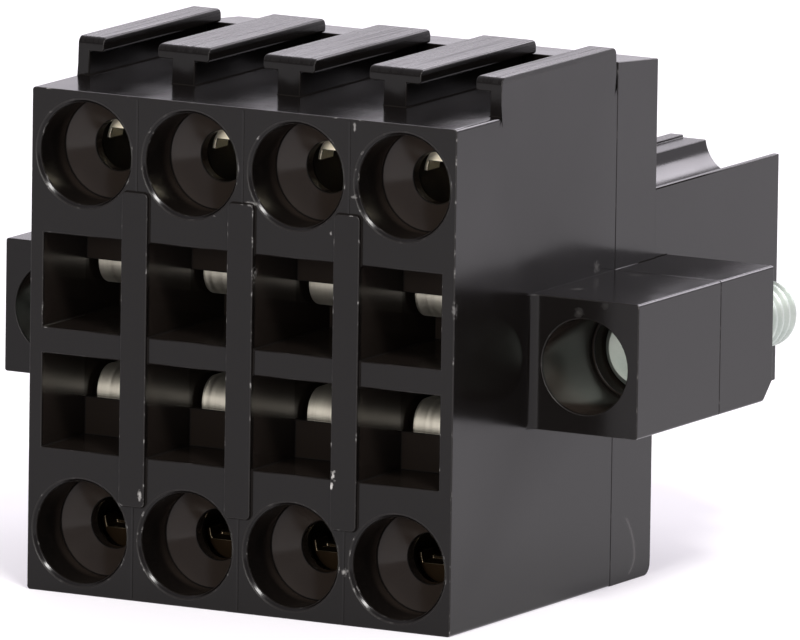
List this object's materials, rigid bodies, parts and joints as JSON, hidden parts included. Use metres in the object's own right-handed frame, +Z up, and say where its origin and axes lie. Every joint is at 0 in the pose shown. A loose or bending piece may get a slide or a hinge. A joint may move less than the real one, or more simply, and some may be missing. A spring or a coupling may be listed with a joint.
{
  "type": "pluggable terminal block",
  "caption": "Pluggable terminal block with wire funnels, release slots and leaf-spring clamps in stacked rows, box sockets at the back and a captive screw in each side flange.",
  "frame": {"origin": "on the flat bottom, under the middle of the bounding box", "axes": "+X along the columns, -Y out of the wire face, +Y along the plug, +Z up towards the rails"},
  "size_m": [0.021, 0.0198, 0.0159],
  "materials": {
    "housing_plastic": "black moulded, satin",
    "spring_steel": "bright rolled strip",
    "tinned_copper": "tin plated",
    "zinc_plated_steel": "zinc plated"
  },
  "bodies": {
    "housing": {"front_housing": "housing_plastic", "rear_housing": "housing_plastic", "clamp_spring_1": "spring_steel", "clamp_spring_2": "spring_steel", "clamp_spring_3": "spring_steel", "clamp_spring_4": "spring_steel", "clamp_spring_5": "spring_steel", "clamp_spring_6": "spring_steel", "clamp_spring_7": "spring_steel", "clamp_spring_8": "spring_steel", "socket_contact_1": "tinned_copper", "socket_contact_2": "tinned_copper", "socket_contact_3": "tinned_copper", "socket_contact_4": "tinned_copper", "socket_contact_5": "tinned_copper", "socket_contact_6": "tinned_copper", "socket_contact_7": "tinned_copper", "socket_contact_8": "tinned_copper"},
    "left_screw": {"left_flange_screw": "zinc_plated_steel"},
    "right_screw": {"right_flange_screw": "zinc_plated_steel"}
  },
  "joints": [
    {"name": "left_screw_turn", "type": "hinge", "parent": "housing", "child": "left_screw", "pos_m": [-0.00875, 0.00145, 0.00737], "axis": [0, 1, 0], "continuous": true},
    {"name": "right_screw_turn", "type": "hinge", "parent": "housing", "child": "right_screw", "pos_m": [0.00875, 0.00145, 0.00737], "axis": [0, 1, 0], "continuous": true}
  ]
}
